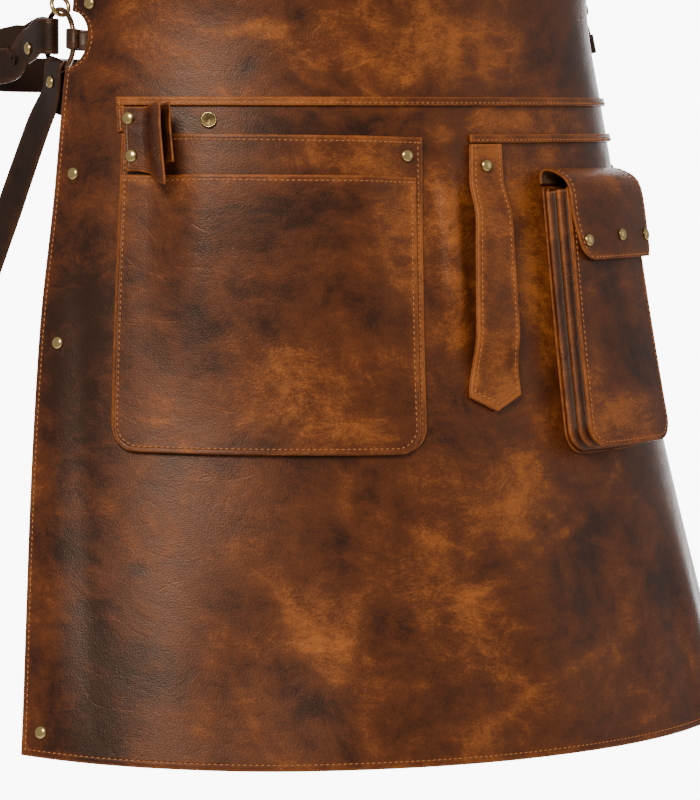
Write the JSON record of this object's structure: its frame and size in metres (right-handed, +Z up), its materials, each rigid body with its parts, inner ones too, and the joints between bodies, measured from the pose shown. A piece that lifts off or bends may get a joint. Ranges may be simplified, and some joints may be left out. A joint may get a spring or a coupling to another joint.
{
  "type": "leather blacksmith apron",
  "caption": "Leather work apron with bib, wrapped skirt, patch pockets, hanging tool loop, bellows pocket with flap, side rings and cross-back straps.",
  "frame": {"origin": "top of the shoulders, midway between the two shoulder straps, where the apron hangs on its wearer", "axes": "+Z up along the wearer's height, which is the longest extent; the wearer faces -Y, and +X is the wearer's left"},
  "size_m": [0.6186, 0.3981, 0.9503],
  "materials": {
    "leather": "waxed pull-up leather, mottled red-brown, worn lighter on edges and folds",
    "dark_leather": "dark brown bridle leather, smooth, edges burnished",
    "brass": "antique brass, polished dome, darkened rim",
    "bronze": "dark antique bronze, worn bright on the edges"
  },
  "bodies": {
    "root": {"belt_rivet_left": "brass", "belt_rivet_right": "brass", "bib_rivet_left_1": "brass", "bib_rivet_left_2": "brass", "bib_rivet_right_1": "brass", "bib_rivet_right_2": "brass", "body_panel": "leather", "cargo_back": "leather", "cargo_flap": "leather", "cargo_front": "leather", "cargo_gusset": "leather", "edge_rivet_left_1": "brass", "edge_rivet_left_2": "brass", "edge_rivet_left_3": "brass", "edge_rivet_left_4": "brass", "edge_rivet_right_1": "brass", "edge_rivet_right_2": "brass", "edge_rivet_right_3": "brass", "edge_rivet_right_4": "brass", "flap_snap_1": "brass", "flap_snap_2": "brass", "flap_snap_3": "brass", "front_pocket": "leather", "hip_welt": "leather", "pocket_rivet": "brass", "rear_pocket": "leather", "ring_tab_left": "dark_leather", "ring_tab_right": "dark_leather", "shoulder_strap_left": "dark_leather", "shoulder_strap_right": "dark_leather", "side_ring_left": "bronze", "side_ring_right": "bronze", "slack_rivet_left": "brass", "slack_rivet_right": "brass", "slack_strap_left": "dark_leather", "slack_strap_right": "dark_leather", "snap_hook_left": "brass", "snap_hook_right": "brass", "snap_stud": "brass", "snap_tab": "leather", "snap_tab_backing": "leather", "snap_tab_rivet_lower": "brass", "snap_tab_rivet_upper": "brass", "tool_loop": "leather", "tool_loop_rivet": "brass", "waist_belt": "dark_leather", "waist_welt": "leather"}
  },
  "joints": []
}
